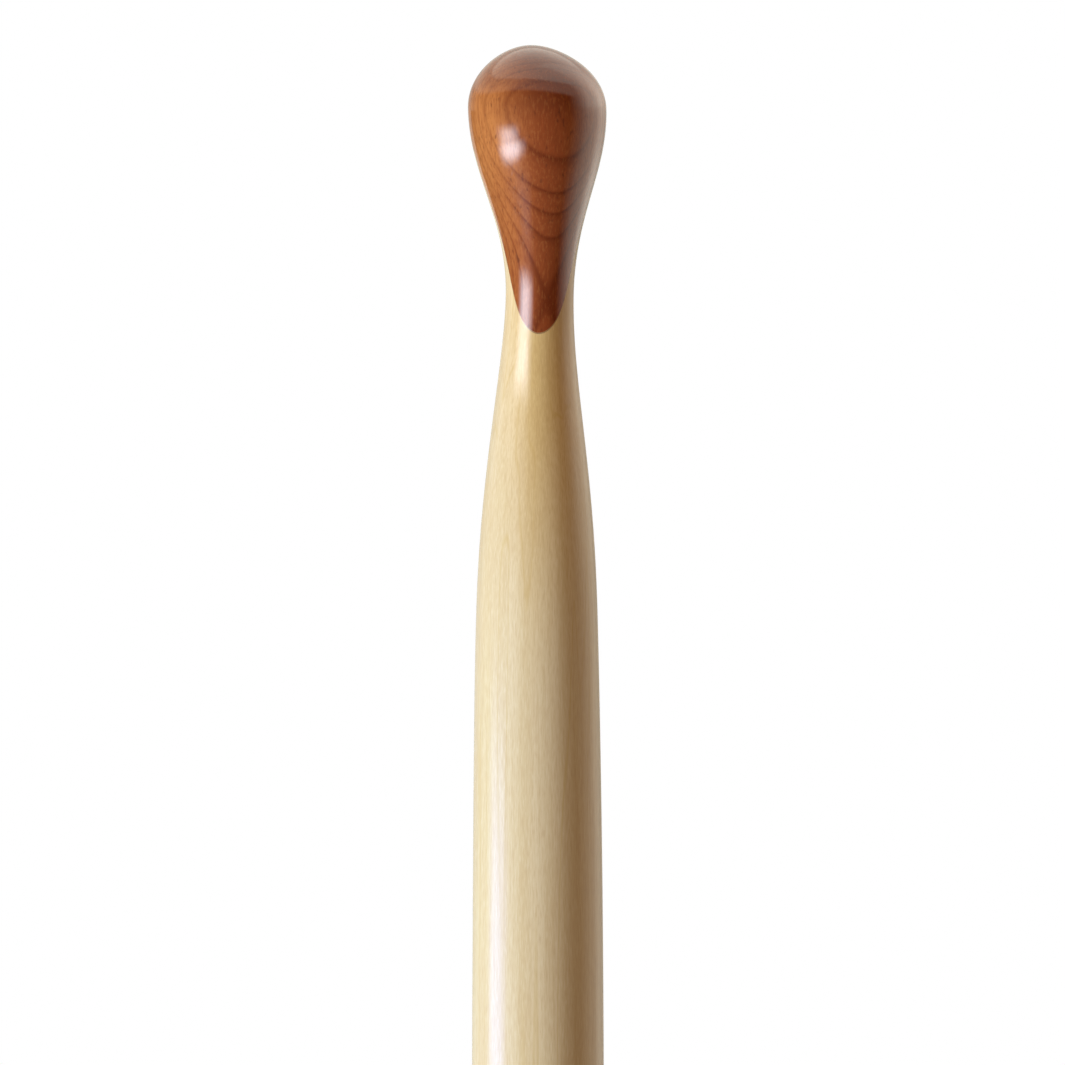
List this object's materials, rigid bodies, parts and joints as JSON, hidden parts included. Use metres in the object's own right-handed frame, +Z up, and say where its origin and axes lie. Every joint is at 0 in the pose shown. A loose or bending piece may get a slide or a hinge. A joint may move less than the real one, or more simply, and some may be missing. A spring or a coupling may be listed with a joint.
{
  "type": "drumstick",
  "caption": "Turned hardwood drumstick: a pale lacquered shaft tapers to a narrow neck, where a tongue and slot splice holds a red-brown teardrop head.",
  "frame": {"origin": "centre of the butt, the lowest point of the stick", "axes": "+Z up the stick's axis to the crown of the head; the tongue of the splice is thin along Y and runs through the head along X"},
  "size_m": [0.0158, 0.0158, 0.406],
  "materials": {
    "pale_wood": "clear gloss lacquer over fine straight grain, maple-like",
    "red_wood": "clear gloss lacquer over flat-sawn ringed grain, cherry-like",
    "glue": "cured wood glue, turned flush and lacquered over"
  },
  "bodies": {
    "root": {"shaft": "pale_wood", "tip": "red_wood", "glue_line": "glue"}
  },
  "joints": []
}
